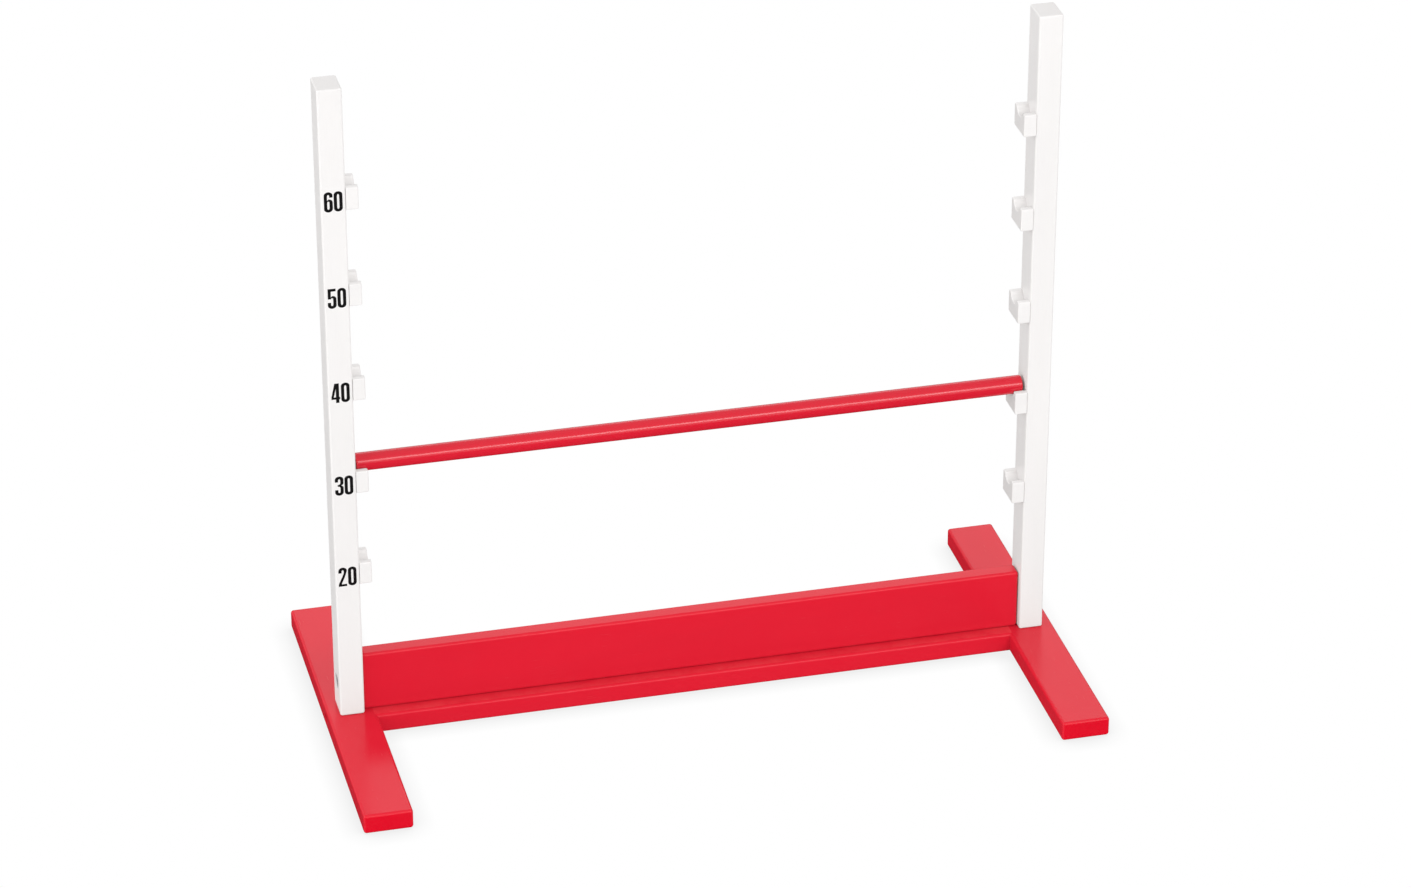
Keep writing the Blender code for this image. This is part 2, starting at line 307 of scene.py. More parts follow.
def outer_x(name, out):
    """Place along X of a node's outer end, on the left side (-1) or the right side (1)."""
    return out * max(abs(corner.x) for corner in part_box(name))


# Finishes

def node(tree, kind, place, **settings):
    made = tree.nodes.new(kind)
    made.location = place
    for name, value in settings.items():
        setattr(made, name, value)
    return made


def set_inputs(made, **values):
    for name, value in values.items():
        made.inputs[name.replace("_", " ")].default_value = value


def new_group(name, takes, gives):
    """Empty shader group with named sockets; takes and gives map a name to a socket's kind."""
    group = bpy.data.node_groups.new(name, 'ShaderNodeTree')
    for label, (kind, value) in takes.items():
        socket = group.interface.new_socket(name=label, in_out='INPUT', socket_type=kind)
        if value is not None:
            socket.default_value = value
    for label, kind in gives.items():
        group.interface.new_socket(name=label, in_out='OUTPUT', socket_type=kind)
    start = node(group, 'NodeGroupInput', (-1200, 0))
    end = node(group, 'NodeGroupOutput', (900, 0))
    return group, start, end


def remap(tree, value, low, high, to_low, to_high, place):
    made = node(tree, 'ShaderNodeMapRange', place)
    set_inputs(made, From_Min=low, From_Max=high, To_Min=to_low, To_Max=to_high)
    tree.links.new(value, made.inputs["Value"])
    return made.outputs["Result"]


def reckon(tree, operation, first, second, place):
    made = node(tree, 'ShaderNodeMath', place, operation=operation)
    for socket, value in zip(made.inputs, (first, second)):
        if isinstance(value, (int, float)):
            socket.default_value = value
        else:
            tree.links.new(value, socket)
    return made.outputs[0]


def noise(tree, vector, scale, detail, place, roughness=0.5):
    made = node(tree, 'ShaderNodeTexNoise', place)
    set_inputs(made, Scale=scale, Detail=detail, Roughness=roughness)
    tree.links.new(vector, made.inputs["Vector"])
    return made.outputs["Fac"]


def stretched(tree, vector, scale, place, location=(0, 0, 0)):
    made = node(tree, 'ShaderNodeMapping', place)
    set_inputs(made, Scale=scale, Location=location)
    tree.links.new(vector, made.inputs["Vector"])
    return made.outputs["Vector"]


def build_wood_figure():
    """Year rings and pores of close-grained wood that grows along X."""
    tree, start, end = new_group(
        "wood figure", {"Vector": ('NodeSocketVector', None)},
        {"Rings": 'NodeSocketFloat', "Pores": 'NodeSocketFloat', "Clouds": 'NodeSocketFloat'})
    along = stretched(tree, start.outputs["Vector"], (0.35, 1.0, 1.0), (-1000, 200), (0, 0.061, -0.047))
    wave = node(tree, 'ShaderNodeTexWave', (-700, 300), wave_type='RINGS', rings_direction='X')
    set_inputs(wave, Scale=95.0, Distortion=3.2, Detail=2.0, Detail_Scale=1.2)
    tree.links.new(along, wave.inputs["Vector"])
    pore_space = stretched(tree, start.outputs["Vector"], (60, 1100, 1100), (-1000, 0))
    pores = noise(tree, pore_space, 1.0, 2.0, (-700, 0))
    clouds = noise(tree, stretched(tree, start.outputs["Vector"], (5, 26, 26), (-1000, -250)),
                   1.0, 3.0, (-700, -250))
    tree.links.new(wave.outputs["Fac"], end.inputs["Rings"])
    tree.links.new(remap(tree, pores, 0.55, 0.80, 0.0, 1.0, (-400, 0)), end.inputs["Pores"])
    tree.links.new(remap(tree, clouds, 0.3, 0.7, 0.0, 1.0, (-400, -250)), end.inputs["Clouds"])
    return tree


def build_lacquer_film(figure):
    """Paint film over wood: its tone, its gloss and the relief of peel, rings and pores."""
    tree, start, end = new_group(
        "lacquer film",
        {"Vector": ('NodeSocketVector', None), "Facing": ('NodeSocketVector', None),
         "Paint": ('NodeSocketColor', None), "Thin Paint And Highlight": ('NodeSocketColor', None),
         "End Paint And Shade": ('NodeSocketColor', None), "Gloss": ('NodeSocketFloat', 0.3),
         "Grain": ('NodeSocketFloat', 0.5), "Peel": ('NodeSocketFloat', 0.5)},
        {"Color": 'NodeSocketColor', "Roughness": 'NodeSocketFloat', "Normal": 'NodeSocketVector'})
    wood = node(tree, 'ShaderNodeGroup', (-900, 200), node_tree=figure)
    tree.links.new(start.outputs["Vector"], wood.inputs["Vector"])
    peel = noise(tree, start.outputs["Vector"], 620.0, 1.0, (-900, -200))
    handling = noise(tree, start.outputs["Vector"], 38.0, 4.0, (-900, -450), roughness=0.6)
    rim = node(tree, 'ShaderNodeAttribute', (-900, -700), attribute_name="rim").outputs["Fac"]

    # End grain, which drinks the paint, is where the piece faces along its grain; its deeper tone is also
    # painted shade on the white pieces, such as the tops of the posts
    facing = node(tree, 'ShaderNodeSeparateXYZ', (-900, -950))
    tree.links.new(start.outputs["Facing"], facing.inputs["Vector"])
    along = reckon(tree, 'ABSOLUTE', facing.outputs["X"], 0.0, (-700, -950))
    end_grain_and_shade = remap(tree, along, 0.75, 0.98, 0.0, 1.0, (-500, -950))

    # Tone: deeper in clouds and pores and on end grain (on white pieces also painted shade), thinner on the
    # rims, where the lighter paint is also a painted highlight
    clouded = remap(tree, wood.outputs["Clouds"], 0, 1, 0.98, 1.015, (-600, 350))
    pored = remap(tree, wood.outputs["Pores"], 0, 1, 1.0, 0.98, (-600, 200))
    tone = reckon(tree, 'MULTIPLY', clouded, pored, (-400, 300))
    toned = node(tree, 'ShaderNodeHueSaturation', (-200, 300))
    soaked_and_shaded = node(tree, 'ShaderNodeMix', (-400, 500), data_type='RGBA')
    tree.links.new(end_grain_and_shade, soaked_and_shaded.inputs["Factor"])
    tree.links.new(start.outputs["Paint"], soaked_and_shaded.inputs["A"])
    tree.links.new(start.outputs["End Paint And Shade"], soaked_and_shaded.inputs["B"])
    tree.links.new(tone, toned.inputs["Value"])
    tree.links.new(soaked_and_shaded.outputs["Result"], toned.inputs["Color"])
    rim_patchiness = remap(tree, handling, 0.35, 0.7, 0.15, 0.8, (-600, -600))
    worn_and_highlit = reckon(tree, 'MULTIPLY', rim, rim_patchiness, (-400, -600))
    mix = node(tree, 'ShaderNodeMix', (50, 300), data_type='RGBA')
    tree.links.new(worn_and_highlit, mix.inputs["Factor"])
    tree.links.new(toned.outputs["Color"], mix.inputs["A"])
    tree.links.new(start.outputs["Thin Paint And Highlight"], mix.inputs["B"])
    tree.links.new(mix.outputs["Result"], end.inputs["Color"])

    # Gloss: a little duller where it was handled and over pores
    touched = remap(tree, handling, 0.3, 0.7, -0.02, 0.03, (-600, -400))
    open_pores = reckon(tree, 'MULTIPLY', wood.outputs["Pores"], 0.06, (-600, -300))
    dull = reckon(tree, 'ADD', touched, open_pores, (-400, -400))
    tree.links.new(reckon(tree, 'ADD', start.outputs["Gloss"], dull, (-200, -400)),
                   end.inputs["Roughness"])

    # Relief
    rings = reckon(tree, 'MULTIPLY', wood.outputs["Rings"], 0.45, (-600, 80))
    sunk = reckon(tree, 'SUBTRACT', rings, wood.outputs["Pores"], (-400, 80))
    grain = reckon(tree, 'MULTIPLY', sunk, start.outputs["Grain"], (-200, 80))
    peeled = reckon(tree, 'MULTIPLY', peel, start.outputs["Peel"], (-200, -100))
    relief = node(tree, 'ShaderNodeBump', (300, -50))
    set_inputs(relief, Strength=1.0, Distance=0.00001)
    tree.links.new(reckon(tree, 'ADD', grain, peeled, (50, 0)), relief.inputs["Height"])
    tree.links.new(relief.outputs["Normal"], end.inputs["Normal"])
    return tree


def build_metal_skin():
    """Plated steel: clouded zinc over fine turning marks."""
    tree, start, end = new_group(
        "metal skin",
        {"Vector": ('NodeSocketVector', None), "Metal": ('NodeSocketColor', None),
         "Tarnish": ('NodeSocketColor', None), "Gloss": ('NodeSocketFloat', 0.3)},
        {"Color": 'NodeSocketColor', "Roughness": 'NodeSocketFloat', "Normal": 'NodeSocketVector'})
    cloud = noise(tree, start.outputs["Vector"], 420.0, 3.0, (-900, 200))
    marks = noise(tree, stretched(tree, start.outputs["Vector"], (6000, 700, 700), (-1000, -100)),
                  1.0, 2.0, (-700, -100))
    mix = node(tree, 'ShaderNodeMix', (-100, 200), data_type='RGBA')
    tree.links.new(remap(tree, cloud, 0.45, 0.75, 0.0, 0.7, (-400, 200)), mix.inputs["Factor"])
    tree.links.new(start.outputs["Metal"], mix.inputs["A"])
    tree.links.new(start.outputs["Tarnish"], mix.inputs["B"])
    tree.links.new(mix.outputs["Result"], end.inputs["Color"])
    dull = remap(tree, cloud, 0.3, 0.7, -0.06, 0.10, (-400, 0))
    tree.links.new(reckon(tree, 'ADD', start.outputs["Gloss"], dull, (-100, 0)), end.inputs["Roughness"])
    relief = node(tree, 'ShaderNodeBump', (200, -100))
    set_inputs(relief, Strength=0.6, Distance=0.00002)
    tree.links.new(marks, relief.inputs["Height"])
    tree.links.new(relief.outputs["Normal"], end.inputs["Normal"])
    return tree


def new_finish(name, film, turn, values, shader_values, thrown=None):
    """Material whose shader is fed by a group that reads the piece's own coordinates.

    thrown is the tone of the light that it throws on other pieces, where that isn't its own colour.
    """
    material = bpy.data.materials.new(name)
    material.use_nodes = True
    tree = material.node_tree
    shader = tree.nodes["Principled BSDF"]
    place = node(tree, 'ShaderNodeTexCoord', (-900, 0))
    turned_space = node(tree, 'ShaderNodeMapping', (-700, 0))
    turned_space.inputs["Rotation"].default_value = turn
    tree.links.new(place.outputs["Object"], turned_space.inputs["Vector"])
    skin = node(tree, 'ShaderNodeGroup', (-400, 0), node_tree=film)
    tree.links.new(turned_space.outputs["Vector"], skin.inputs["Vector"])
    if "Facing" in skin.inputs:
        turned_facing = node(tree, 'ShaderNodeMapping', (-700, -400), vector_type='VECTOR')
        turned_facing.inputs["Rotation"].default_value = turn
        tree.links.new(place.outputs["Normal"], turned_facing.inputs["Vector"])
        tree.links.new(turned_facing.outputs["Vector"], skin.inputs["Facing"])
    for label, value in values.items():
        skin.inputs[label].default_value = value
    colour = skin.outputs["Color"]
    if thrown:
        path = node(tree, 'ShaderNodeLightPath', (-400, 400))
        cast = node(tree, 'ShaderNodeMix', (-150, 200), data_type='RGBA')
        tree.links.new(path.outputs["Is Diffuse Ray"], cast.inputs["Factor"])
        tree.links.new(colour, cast.inputs["A"])
        cast.inputs["B"].default_value = thrown
        colour = cast.outputs["Result"]
    tree.links.new(colour, shader.inputs["Base Color"])
    tree.links.new(skin.outputs["Roughness"], shader.inputs["Roughness"])
    tree.links.new(skin.outputs["Normal"], shader.inputs["Normal"])
    for label, value in shader_values.items():
        shader.inputs[label].default_value = value
    material.diffuse_color = values["Metal"] if "Metal" in values else values["Paint"]
    return material


ALONG_X = (0, 0, 0)
ALONG_Y = (0, 0, radians(90))
ALONG_Z = (0, radians(90), 0)

figure = build_wood_figure()
film = build_lacquer_film(figure)
skin = build_metal_skin()

# Rim tones are lighter: thinner paint, and also a painted highlight along the rounded edges. End tones are
# deeper: end grain that drinks the paint, and on the white finish also painted shade on the tops of the
# posts.
RED = {"Paint": (0.722, 0.0100, 0.0285, 1), "Thin Paint And Highlight": (0.82, 0.045, 0.060, 1),
       "End Paint And Shade": (0.715, 0.0015, 0.0165, 1), "Gloss": 0.22, "Grain": 0.14, "Peel": 0.16}
RED_SHADER = {"IOR": 1.45, "Specular IOR Level": 0.22}
BAR_RED = {**RED, "Paint": (0.655, 0.0080, 0.0260, 1), "Gloss": 0.18, "Grain": 0.06, "Peel": 0.10}
BAR_SHADER = {"IOR": 1.45, "Specular IOR Level": 0.50}
WHITE = {"Paint": (0.825, 0.808, 0.800, 1), "Thin Paint And Highlight": (0.86, 0.845, 0.83, 1),
         "End Paint And Shade": (0.765, 0.746, 0.738, 1), "Gloss": 0.36, "Grain": 0.35, "Peel": 0.50}
WHITE_SHADER = {"IOR": 1.45, "Specular IOR Level": 0.30}
BEECH = {"Paint": (0.56, 0.36, 0.20, 1), "Thin Paint And Highlight": (0.62, 0.43, 0.26, 1),
         "End Paint And Shade": (0.44, 0.27, 0.14, 1), "Gloss": 0.62, "Grain": 3.0, "Peel": 0.0}
BEECH_SHADER = {"IOR": 1.45, "Specular IOR Level": 0.25}
ZINC = {"Metal": (0.66, 0.67, 0.69, 1), "Tarnish": (0.46, 0.47, 0.50, 1), "Gloss": 0.30}
INK = {"Paint": (0.0060, 0.0055, 0.0060, 1), "Thin Paint And Highlight": (0.03, 0.03, 0.03, 1),
       "End Paint And Shade": (0.0060, 0.0055, 0.0060, 1), "Gloss": 0.42, "Grain": 0.35, "Peel": 0.9}
INK_SHADER = {"IOR": 1.45, "Specular IOR Level": 0.20}

# The photograph's white posts take hardly any red from the feet
RED_THROWN = (0.70, 0.56, 0.54, 1)

red_along_x = new_finish("red lacquer, grain across", film, ALONG_X, RED, RED_SHADER, RED_THROWN)
red_along_y = new_finish("red lacquer, grain front to back", film, ALONG_Y, RED, RED_SHADER, RED_THROWN)
red_turned = new_finish("red lacquer, polished bar", film, ALONG_X, BAR_RED, BAR_SHADER, RED_THROWN)
white_along_x = new_finish("white lacquer, grain across", film, ALONG_X, WHITE, WHITE_SHADER)
white_along_z = new_finish("white lacquer, grain upright", film, ALONG_Z, WHITE, WHITE_SHADER)
beech = new_finish("beech dowel", film, ALONG_X, BEECH, BEECH_SHADER)
zinc = new_finish("zinc plated steel", skin, ALONG_X, ZINC, {"Metallic": 1.0})
ink = new_finish("black print", film, ALONG_Z, INK, INK_SHADER)


# Wooden pieces

def mark_rims(piece, radius, depths_at):
    """Attribute that is 1 along the middle of the rounded edges and 0 on the flat faces; it carries the
    lighter rim tone, thinner paint that is also a painted highlight.

    depths_at gives how deep a place is under each of the faces round it.
    """
    rim = piece.data.attributes.new("rim", 'FLOAT', 'POINT')
    for vertex in piece.data.vertices:
        from_edge = sorted(depths_at(vertex.co))[1]
        rim.data[vertex.index].value = max(0.0, 1.0 - from_edge / (RIM_SHARE * radius))


def plank(name, radius, reach=Vector((0, 0, 0)), drop=0.0, wanted=is_sharp):
    """Rounded timber in a node's box, let out at both ends or dropped onto what carries it."""
    low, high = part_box(name)
    low, high = low - reach - Z_AXIS * drop, high + reach
    piece = block(name + "_lacquered", low, high)
    round_over(piece, radius, ROUNDING_STEPS, wanted)
    mark_rims(piece, radius, lambda place: [
        min(place[axis] - low[axis], high[axis] - place[axis]) for axis in range(3)])
    return piece


def runs_across(edge):
    first, last = (vertex.co for vertex in edge.verts)
    return is_sharp(edge) and abs(first.x - last.x) > LONG_EDGE


def fit_sill(sill, foot):
    """Shape an end of the sill to the foot's rounded side, so that the two are flush."""
    only(foot)
    bpy.ops.object.duplicate()
    take_out(sill, bpy.context.object)
    merge_close(sill)


def bore_for(piece, fitting, radius):
    """Hole along a fitting's length, a little longer than the fitting at both ends."""
    low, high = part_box(fitting)
    span = high - low
    way = max((X_AXIS, Y_AXIS, Z_AXIS), key=lambda axis: span.dot(axis))
    centre = middle_of(fitting)
    reach = way * (span.dot(way) / 2 + DRILL_PAST)
    bore(piece, centre - reach, centre + reach, radius + FIT, HIDDEN_SIDES)


def countersink(piece, fitting, radius):
    """Bore from below with a flared seat for a screw's head."""
    low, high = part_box(fitting)
    centre = middle_of(fitting)
    wide, narrow = radius * 2 + FIT, radius + FIT
    start, end = -DRILL_PAST * 2, high.z - low.z + DRILL_PAST
    profile = [(0, start), (wide, start), (wide, SCREW_RIM), (narrow, SCREW_RIM + radius),
               (narrow, end), (0, end)]
    base = Vector((centre.x, centre.y, low.z))
    take_out(piece, turned("countersink", profile, FITTING_SIDES, base, Z_AXIS))


def sink_bolt(bolt, out, outer, carrier, inner, head_radius, head_height):
    """Seat of a bolt's head in the outer piece, and its bore through both pieces."""
    level = middle_of(bolt).z
    outward = X_AXIS * out
    face = Vector((outer_x(carrier, out), 0, level))
    seat = Vector((outer_x(bolt, out) - out * head_height, 0, level))
    bore(outer, face + outward * DRILL_PAST, seat, head_radius + FIT)
    soften_mouth(outer, face, outward, head_radius + FIT)
    bore_for(outer, bolt, BOLT_RADIUS)
    bore_for(inner, bolt, BOLT_RADIUS)


def nut_pocket(piece, bottom, mouth):
    """Blind hole for a barrel nut, from its bottom out through its mouth."""
    way = (mouth - bottom).normalized()
    bore(piece, bottom, mouth + way * DRILL_PAST, NUT_RADIUS + FIT)
    soften_mouth(piece, mouth, way, NUT_RADIUS + FIT)


def make_wood():
    sill = plank("sill", PLANK_ROUNDING, reach=X_AXIS * (PLANK_ROUNDING + FIT), wanted=runs_across)
    board = plank("kick_board", PLANK_ROUNDING, drop=FIT - CONTACT)
    for side, out in SIDES:
        foot = plank(side + "_foot", PLANK_ROUNDING)
        post = plank(side + "_post", POST_ROUNDING, drop=FIT - CONTACT)
        fit_sill(sill, foot)
        sink_bolt(side + "_post_bolt", out, post, side + "_post", board,
                  POST_BOLT_HEAD_RADIUS, POST_BOLT_HEAD_HEIGHT)
        sink_bolt(side + "_sill_bolt", out, foot, side + "_foot", sill,
                  SILL_BOLT_HEAD_RADIUS, SILL_BOLT_HEAD_HEIGHT)

        # Pockets of the barrel nuts, behind the board and under the sill
        centre = middle_of(side + "_board_nut")
        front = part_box(side + "_board_nut")[0].y - FIT
        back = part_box("kick_board")[1].y
        nut_pocket(board, Vector((centre.x, front, centre.z)), Vector((centre.x, back, centre.z)))
        centre = middle_of(side + "_sill_nut")
        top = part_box(side + "_sill_nut")[1].z + FIT
        nut_pocket(sill, Vector((centre.x, centre.y, top)), Vector((centre.x, centre.y, 0)))

        for end in ("front", "back"):
            for piece in (foot, sill):
                bore_for(piece, f"{side}_sill_dowel_{end}", SILL_DOWEL_RADIUS)
            countersink(foot, f"{side}_post_screw_{end}", POST_SCREW_RADIUS)
            bore_for(post, f"{side}_post_screw_{end}", POST_SCREW_RADIUS)
        for mark in SCALE_MARKS:
            bore_for(post, f"{side}_holder_{mark}_dowel", HOLDER_DOWEL_RADIUS)
        finish_piece(foot, red_along_y, "red_lacquer", "frame", side + "_foot")
        finish_piece(post, white_along_z, "white_lacquer", "frame", side + "_post")

    for count in range(1, 5):
        countersink(sill, f"board_screw_{count}", BOARD_SCREW_RADIUS)
        bore_for(board, f"board_screw_{count}", BOARD_SCREW_RADIUS)
    finish_piece(sill, red_along_x, "red_lacquer", "frame", "sill")
    finish_piece(board, red_along_x, "red_lacquer", "frame", "kick_board")


def make_holders():
    """One holder is shaped and bored, and the others are its copies."""
    node_low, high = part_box("left_holder_20")
    low = node_low - X_AXIS * (FIT - CONTACT)
    pattern = block("holder_pattern", low, high)
    axis_z = high.z + SEAT_RISE
    deselect()
    bpy.ops.mesh.primitive_cylinder_add(
        vertices=BAR_SIDES, radius=SEAT_RADIUS, depth=SEAT_CUTTER_LENGTH,
        location=((low.x + high.x) / 2, 0, axis_z), rotation=(0, pi / 2, 0))
    take_out(pattern, bpy.context.object)
    round_over(pattern, HOLDER_ROUNDING, HOLDER_ROUNDING_STEPS, lambda edge: is_sharp(edge) and any(
        vertex.co.x > low.x + CONTACT for vertex in edge.verts))
    mark_rims(pattern, HOLDER_ROUNDING, lambda place: [
        high.x - place.x, high.z - place.z, place.z - low.z, high.y - abs(place.y),
        Vector((0, place.y, place.z - axis_z)).length - SEAT_RADIUS])
    for side, out in SIDES:
        for mark in SCALE_MARKS:
            name = f"{side}_holder_{mark}"
            only(pattern)
            bpy.ops.object.duplicate()
            piece = named(name + "_lacquered")
            if out > 0:
                piece.scale = (-1, 1, 1)
                settle(piece)
                bpy.ops.object.mode_set(mode='EDIT')
                bpy.ops.mesh.select_all(action='SELECT')
                bpy.ops.mesh.normals_make_consistent(inside=False)
                bpy.ops.object.mode_set(mode='OBJECT')
            piece.location = (0, 0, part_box(name)[0].z - node_low.z)
            settle(piece)
            bore_for(piece, name + "_dowel", HOLDER_DOWEL_RADIUS)
            finish_piece(piece, white_along_x, "white_lacquer", "frame", name)
    bpy.data.objects.remove(pattern, do_unlink=True)


def make_bar():
    low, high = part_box("crossbar")
    deselect()
    bpy.ops.mesh.primitive_cylinder_add(
        vertices=BAR_SIDES, radius=(high.z - low.z) / 2, depth=high.x - low.x,
        location=middle_of("crossbar"), rotation=(0, pi / 2, 0))
    piece = named("crossbar_lacquered")
    settle(piece)
    round_over(piece, BAR_END_ROUNDING, ROUNDING_STEPS)
    # A lighter band round each end of the bar: thinner paint, and also a painted highlight on the rounded
    # end edges.
    rim = piece.data.attributes.new("rim", 'FLOAT', 'POINT')
    for vertex in piece.data.vertices:
        from_end = high.x - abs(vertex.co.x)
        rim.data[vertex.index].value = 1.0 if BAR_RIM_START < from_end < BAR_RIM_END else 0.0
    finish_piece(piece, red_turned, "red_lacquer", "crossbar", "crossbar")


# Fittings

def make_bolt(name, head_radius, head_height, out):
    """Bolt that points inwards, with a hexagonal socket in its domed head."""
    low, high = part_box(name)
    length = high.x - low.x - head_height
    dome, under, tip = HEAD_TOP_SOFTNESS, HEAD_UNDERSIDE_SOFTNESS, BOLT_TIP_SOFTNESS
    profile = [(0, -head_height),
               *arc((head_radius - dome, dome - head_height), (dome, dome), 270, 360, 4),
               (head_radius, -under), (head_radius - under, 0), (BOLT_RADIUS, 0),
               (BOLT_RADIUS, length - tip), (BOLT_RADIUS - tip, length), (0, length)]
    outward = X_AXIS * out
    under_head = Vector((outer_x(name, out) - out * head_height, 0, middle_of(name).z))
    piece = turned(name + "_plated", profile, FITTING_SIDES, under_head, -outward)
    top = under_head + outward * head_height
    bore(piece, top + outward * DRILL_PAST, top - outward * SOCKET_DEPTH,
         SOCKET_WIDTH / sqrt(3), SOCKET_SIDES)
    finish_piece(piece, zinc, "zinc_steel", "frame", name)


def make_nut(name, mouth):
    """Barrel nut with its bolt's bore across it, and a slot in the end that faces its mouth."""
    low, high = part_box(name)
    centre = middle_of(name)
    half = (high - low).dot(Vector(map(abs, mouth))) / 2
    soft = NUT_SOFTNESS
    profile = [(0, -half), (NUT_RADIUS - soft, -half), (NUT_RADIUS, soft - half),
               (NUT_RADIUS, half - soft), (NUT_RADIUS - soft, half), (0, half)]
    piece = turned(name + "_plated", profile, FITTING_SIDES, centre, mouth)
    slot_half = Vector((NUT_RADIUS * NUT_SLOT_OVERRUN,) * 3)
    across = Z_AXIS if mouth.y else Y_AXIS
    for axis in range(3):
        if across[axis]:
            slot_half[axis] = NUT_SLOT_HALF_WIDTH
        if mouth[axis]:
            slot_half[axis] = NUT_SLOT_DEPTH
    top = centre + mouth * half
    take_out(piece, block("slot", top - slot_half, top + slot_half))
    reach = X_AXIS * NUT_RADIUS * 2
    bore(piece, centre - reach, centre + reach, BOLT_RADIUS + FIT)
    finish_piece(piece, zinc, "zinc_steel", "frame", name)


def make_screw(name, radius):
    """Countersunk screw that points up, with a cross in its head."""
    low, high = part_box(name)
    centre = middle_of(name)
    length = high.z - low.z
    head = radius * 2
    soft = SCREW_RIM_SOFTNESS
    profile = [(0, 0), (head - soft, 0), (head, soft), (head, SCREW_RIM), (radius, SCREW_RIM + radius),
               (radius, length - head), (0, length)]
    base = Vector((centre.x, centre.y, low.z))
    piece = turned(name + "_plated", profile, FITTING_SIDES, base, Z_AXIS)
    for reach in (Vector((radius, SCREW_CROSS_HALF_WIDTH, SCREW_CROSS_DEPTH)),
                  Vector((SCREW_CROSS_HALF_WIDTH, radius, SCREW_CROSS_DEPTH))):
        take_out(piece, block("cross", base - reach, base + reach))
    finish_piece(piece, zinc, "zinc_steel", "frame", name)


def make_fittings():
    for side, out in SIDES:
        make_bolt(side + "_post_bolt", POST_BOLT_HEAD_RADIUS, POST_BOLT_HEAD_HEIGHT, out)
        make_bolt(side + "_sill_bolt", SILL_BOLT_HEAD_RADIUS, SILL_BOLT_HEAD_HEIGHT, out)
        make_nut(side + "_board_nut", Y_AXIS)
        make_nut(side + "_sill_nut", -Z_AXIS)
        for end in ("front", "back"):
            make_screw(f"{side}_post_screw_{end}", POST_SCREW_RADIUS)
    for count in range(1, 5):
        make_screw(f"board_screw_{count}", BOARD_SCREW_RADIUS)
    for name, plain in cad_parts.items():
        if name.endswith("_dowel") or "_dowel_" in name:
            plain.data.materials.clear()
            plain.data.materials.append(beech)


# Printed scale

def figure_outlines():
    """Outlines of the condensed figures, each a closed contour and perhaps the hole in it."""
    wide, tall, stem, crown = FIGURE_WIDTH, FIGURE_HEIGHT, FIGURE_STEM, FIGURE_CROWN
    bend = wide / 2
    rise = 0.0036
    inner = bend - stem
    inner_rise = 0.0019
    steps = 10
    top, low = tall - rise, rise
    hole_top, hole_low = tall - crown - inner_rise, crown + inner_rise

    over = arc((bend, top), (bend, rise), 0, 180, steps * 2)
    under = arc((bend, low), (bend, rise), 180, 360, steps * 2)
    inside_over = arc((bend, hole_top), (inner, inner_rise), 180, 0, steps * 2)
    inside_under = arc((bend, hole_low), (inner, inner_rise), 360, 180, steps * 2)

    zero = [under + over,
            arc((bend, hole_low), (inner, inner_rise), 180, 360, steps)
            + arc((bend, hole_top), (inner, inner_rise), 0, 180, steps)]
    six = [under + arc((bend + 0.0006, 0.0098), (bend - 0.0006, 0.0034), 0, 100, steps)
           + [(stem + 0.0004, 0.0124), (stem, 0.0116)] + inside_over
           + [(wide - stem, 0.0150), (wide, 0.0150)] + over,
           arc((bend, hole_low), (inner, inner_rise), 180, 360, steps)
           + arc((bend, 0.0096), (inner, 0.0015), 0, 180, steps)]
    five = [under + arc((bend + 0.0006, 0.0098), (bend - 0.0006, 0.0034), 0, 100, steps)
            + [(stem + 0.0004, 0.0124), (stem, 0.0116), (stem, tall - crown), (wide - 0.0005, tall - crown),
               (wide - 0.0005, tall), (0.0002, tall), (0.0002, 0.0100), (stem - 0.0002, 0.0100)]
            + arc((bend, 0.0096), (inner, 0.0015), 180, 0, steps)
            + inside_under + [(stem, 0.0064), (0, 0.0064)]]
    post = wide - 0.0009 - stem
    four = [[(post, 0), (post + stem, 0), (post + stem, 0.0038), (wide, 0.0038), (wide, 0.0061),
             (post + stem, 0.0061), (post + stem, tall), (0.0031, tall), (0, 0.0066), (0, 0.0038),
             (post, 0.0038)],
            [(0.0022, 0.0061), (post, 0.0061), (post, 0.0150)]]
    three = [under + arc((bend, 0.0082), (bend, 0.0029), 0, 60, steps // 2)
             + arc((bend, 0.0134), (bend, 0.0029), 300, 360, steps // 2) + over
             + [(0, 0.0146), (stem, 0.0146)] + inside_over
             + arc((bend - 0.0006, 0.0134), (inner + 0.0006, 0.0016), 360, 270, steps // 2)
             + [(0.0026, 0.0118), (0.0026, 0.0097)]
             + arc((bend - 0.0006, 0.0081), (inner + 0.0006, 0.0016), 90, 0, steps // 2)
             + inside_under + [(stem, 0.0062), (0, 0.0062)]]
    two = [[(0, 0), (wide - 0.0002, 0), (wide - 0.0002, 0.0024), (0.0030, 0.0024), (0.0031, 0.0032),
            (0.0062, 0.0102), (0.0070, 0.0126)] + over
           + [(0, 0.0146), (stem, 0.0146)] + inside_over
           + [(wide - stem, 0.0146), (0.0045, 0.0128), (0.0038, 0.0108), (0.0004, 0.0034), (0, 0.0020)]]
    return {"0": zero, "2": two, "3": three, "4": four, "5": five, "6": six}


def flat_contour(points, left, low, front):
    """Ring of edges on the front of the post, from outline points."""
    deselect()
    bpy.ops.mesh.primitive_circle_add(vertices=len(points))
    ring = bpy.context.object
    for vertex, (across, up) in zip(ring.data.vertices, points):
        vertex.co = (left + across, front, low + up)
    return ring


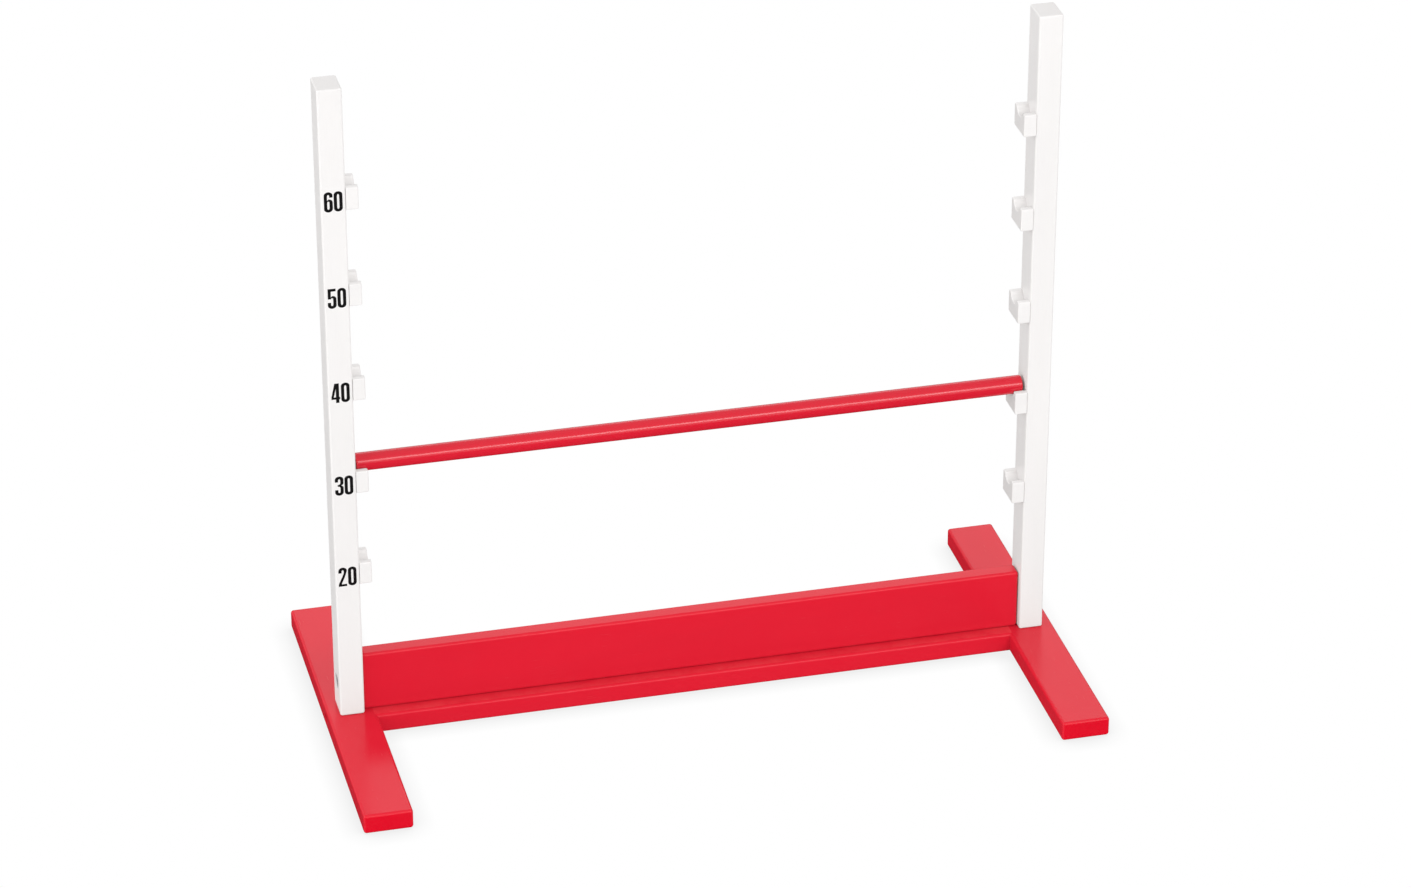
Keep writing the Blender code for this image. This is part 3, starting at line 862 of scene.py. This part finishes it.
def make_scale():
    outlines = figure_outlines()
    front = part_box("left_post")[0].y
    start = middle_of("left_post").x - FIGURE_WIDTH - FIGURE_GAP / 2
    for mark, level in SCALE_MARKS.items():
        bottom = level - FIGURE_DROP - FIGURE_HEIGHT / 2
        rings = []
        for place, figure_name in enumerate(mark):
            left = start + place * (FIGURE_WIDTH + FIGURE_GAP)
            rings += [flat_contour(points, left, bottom, front) for points in outlines[figure_name]]
        deselect()
        for ring in rings:
            ring.select_set(True)
        bpy.context.view_layer.objects.active = rings[0]
        bpy.ops.object.join()
        piece = named("scale_" + mark)
        bpy.ops.object.mode_set(mode='EDIT')
        bpy.ops.mesh.select_all(action='SELECT')
        bpy.ops.mesh.fill()
        bpy.ops.mesh.select_all(action='SELECT')
        bpy.ops.mesh.extrude_region_move(TRANSFORM_OT_translate={"value": (0, -PRINT_THICKNESS, 0)})
        bpy.ops.mesh.select_all(action='SELECT')
        bpy.ops.mesh.normals_make_consistent(inside=False)
        bpy.ops.object.mode_set(mode='OBJECT')
        finish_piece(piece, ink, "black_print", "frame")


# Studio

FLOOR_SIZE = 14
FLOOR_DROP = 0.0004
PAPER_TONE = 0.80
PAPER_MIRRORED = 0.04
SHADE_REACH = 0.025
SHADE_SAMPLES = 16
OPEN_AT_CONTACT = 0.5
SHADE_AT_CONTACT = 0.86
ROOM_LIGHT = 0.81
ROOM_SEEN = 1.05


def add_softbox(name, location, aim, width, height, power):
    deselect()
    bpy.ops.object.light_add(type='AREA', location=location)
    light = bpy.context.object
    light.name = name
    light.rotation_euler = (Vector(location) - Vector(aim)).to_track_quat('Z', 'Y').to_euler()
    light.data.shape = 'RECTANGLE'
    light.data.size = width
    light.data.size_y = height
    light.data.energy = power


def add_studio():
    deselect()
    bpy.ops.mesh.primitive_plane_add(size=FLOOR_SIZE, location=(0, 0, -FLOOR_DROP))
    floor = named("studio_floor")
    paper = bpy.data.materials.new("white paper")
    paper.use_nodes = True
    tree = paper.node_tree
    seen = node(tree, 'ShaderNodeLightPath', (-600, 0))

    # The paper that lights the wood from below, and is hardly mirrored in it
    plain = tree.nodes["Principled BSDF"]
    plain.inputs["Roughness"].default_value = 0.9
    plain.inputs["Specular IOR Level"].default_value = 0.0
    pale = remap(tree, seen.outputs["Is Glossy Ray"], 0, 1, PAPER_TONE, PAPER_MIRRORED, (-300, -100))
    tree.links.new(pale, plain.inputs["Base Color"])

    # The paper that is seen: white, with a soft shade close round whatever stands on it
    close = node(tree, 'ShaderNodeAmbientOcclusion', (-600, 400), samples=SHADE_SAMPLES)
    close.inputs["Distance"].default_value = SHADE_REACH
    shade = remap(tree, close.outputs["AO"], OPEN_AT_CONTACT, 1.0, SHADE_AT_CONTACT, 1.0, (-300, 400))
    white = node(tree, 'ShaderNodeEmission', (0, 400))
    tree.links.new(shade, white.inputs["Strength"])

    mix = node(tree, 'ShaderNodeMixShader', (400, 0))
    tree.links.new(seen.outputs["Is Camera Ray"], mix.inputs["Fac"])
    tree.links.new(plain.outputs["BSDF"], mix.inputs[1])
    tree.links.new(white.outputs["Emission"], mix.inputs[2])
    tree.links.new(mix.outputs["Shader"], tree.nodes["Material Output"].inputs["Surface"])
    floor.data.materials.append(paper)

    world = bpy.data.worlds.new("pale room")
    world.use_nodes = True
    tree = world.node_tree
    sky = tree.nodes["Background"]
    sky.inputs["Color"].default_value = (1.0, 1.0, 1.0, 1)
    seen = node(tree, 'ShaderNodeLightPath', (-600, 0))
    level = remap(tree, seen.outputs["Is Camera Ray"], 0, 1, ROOM_LIGHT, ROOM_SEEN, (-300, 0))
    tree.links.new(level, sky.inputs["Strength"])
    bpy.context.scene.world = world
    bpy.context.scene.view_settings.view_transform = 'Standard'

    add_softbox("back", (0.9, 3.2, 1.9), (0, 0, 0.1), 2.8, 1.5, 12)
    add_softbox("front", (0.9, -3.2, 1.1), (0, 0, 0.3), 2.2, 1.4, 6)
    add_softbox("left", (-3.2, -0.6, 1.4), (0, 0, 0.3), 3.0, 2.4, 38)
    add_softbox("long strip in front", (1.0, -3.3, 2.1), (0, 0, 0.3), 2.2, 0.9, 40)


add_camera()
make_wood()
make_holders()
make_bar()
make_fittings()
make_scale()
add_studio()
